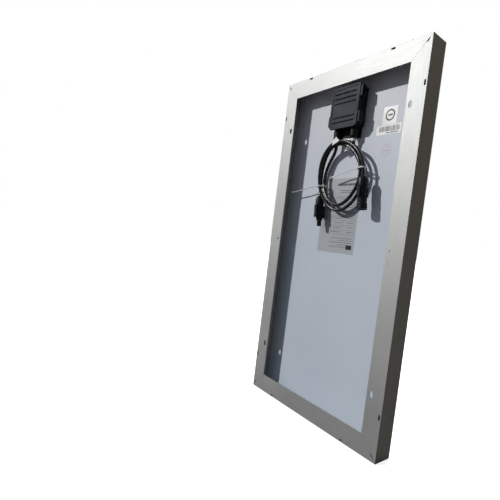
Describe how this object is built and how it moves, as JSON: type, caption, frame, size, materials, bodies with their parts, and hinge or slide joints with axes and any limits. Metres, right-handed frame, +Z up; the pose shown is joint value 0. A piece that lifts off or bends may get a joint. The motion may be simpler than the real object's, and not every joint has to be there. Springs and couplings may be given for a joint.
{
  "type": "solar panel",
  "caption": "Small framed photovoltaic panel that turns sunlight into direct current, with a back junction box and a pair of connector leads.",
  "frame": {"origin": "centre of the plane of the back flanges, midway between the four mounting slots", "axes": "+Z up along the long edge, towards the junction box; +Y out of the back; -Y out of the glass; +X to the right of someone facing the glass"},
  "size_m": [0.345, 0.0401, 0.64],
  "materials": {
    "frame_aluminium": "natural anodised, fine lengthwise grain",
    "key_aluminium": "as cast, dull",
    "sealant_white": "white silicone",
    "cover_glass": "tempered, very lightly textured",
    "encapsulant": "clear cured film",
    "cell_silicon": "deep blue polycrystalline under an antireflection coat",
    "ribbon_tinned": "tinned copper ribbon",
    "backsheet_white": "white film with a faint lilac cast",
    "label_silver": null,
    "label_white": "white paper",
    "box_black": "moulded, satin",
    "lid_slate": "moulded, satin",
    "seal_rubber": "black elastomer",
    "contact_tinned": "tinned copper",
    "diode_black": "moulded epoxy",
    "lead_jacket": "satin cable jacket",
    "tie_nylon": "translucent natural nylon"
  },
  "bodies": {
    "panel": {"frame_rail_left": "frame_aluminium", "frame_rail_right": "frame_aluminium", "frame_rail_top": "frame_aluminium", "frame_rail_bottom": "frame_aluminium", "corner_key_top_left": "key_aluminium", "corner_key_top_right": "key_aluminium", "corner_key_bottom_left": "key_aluminium", "corner_key_bottom_right": "key_aluminium", "edge_sealant": "sealant_white", "box_adhesive_pad": "sealant_white", "front_glass": "cover_glass", "encapsulant_front": "encapsulant", "encapsulant_rear": "encapsulant", "cell_string_left": "cell_silicon", "cell_string_right": "cell_silicon", "bus_ribbon_bottom": "ribbon_tinned", "output_ribbon_left": "ribbon_tinned", "output_ribbon_right": "ribbon_tinned", "centre_tap_ribbon": "ribbon_tinned", "backsheet": "backsheet_white", "rating_label": "label_silver", "mark_label": "label_white", "serial_label": "label_white", "polarity_tag_left": "label_white", "polarity_tag_right": "label_white", "junction_box_base": "box_black", "plug_housing": "box_black", "socket_housing": "box_black", "gland_seal_left": "seal_rubber", "gland_seal_right": "seal_rubber", "plug_cable_seal": "seal_rubber", "plug_o_ring": "seal_rubber", "socket_cable_seal": "seal_rubber", "terminal_plate_left": "contact_tinned", "terminal_plate_centre": "contact_tinned", "terminal_plate_right": "contact_tinned", "plug_contact": "contact_tinned", "socket_contact": "contact_tinned", "bypass_diode_left": "diode_black", "bypass_diode_right": "diode_black", "lead_left": "lead_jacket", "lead_right": "lead_jacket", "cable_tie_left": "tie_nylon", "cable_tie_right": "tie_nylon"},
    "box_lid": {"junction_box_lid": "lid_slate", "lid_gasket": "seal_rubber"},
    "gland_nut_left_body": {"gland_nut_left": "box_black"},
    "gland_nut_right_body": {"gland_nut_right": "box_black"},
    "plug_cap_body": {"plug_cap_nut": "box_black"},
    "socket_cap_body": {"socket_cap_nut": "box_black"}
  },
  "joints": [
    {"name": "lid_lift", "type": "slide", "parent": "panel", "child": "box_lid", "axis": [0, 1, 0], "range_m": [0, 0.04]},
    {"name": "gland_nut_left_turn", "type": "hinge", "parent": "panel", "child": "gland_nut_left_body", "pos_m": [0.021, -0.0165, 0.2], "axis": [0, 0, 1], "continuous": true},
    {"name": "gland_nut_right_turn", "type": "hinge", "parent": "panel", "child": "gland_nut_right_body", "pos_m": [-0.021, -0.0165, 0.2], "axis": [0, 0, 1], "continuous": true},
    {"name": "plug_cap_turn", "type": "hinge", "parent": "panel", "child": "plug_cap_body", "pos_m": [0.0458, -0.0135, 0.088], "axis": [0.1305, 0, 0.9914], "continuous": true},
    {"name": "socket_cap_turn", "type": "hinge", "parent": "panel", "child": "socket_cap_body", "pos_m": [-0.0645, -0.007, 0.1185], "axis": [0.1305, 0, 0.9914], "continuous": true}
  ]
}
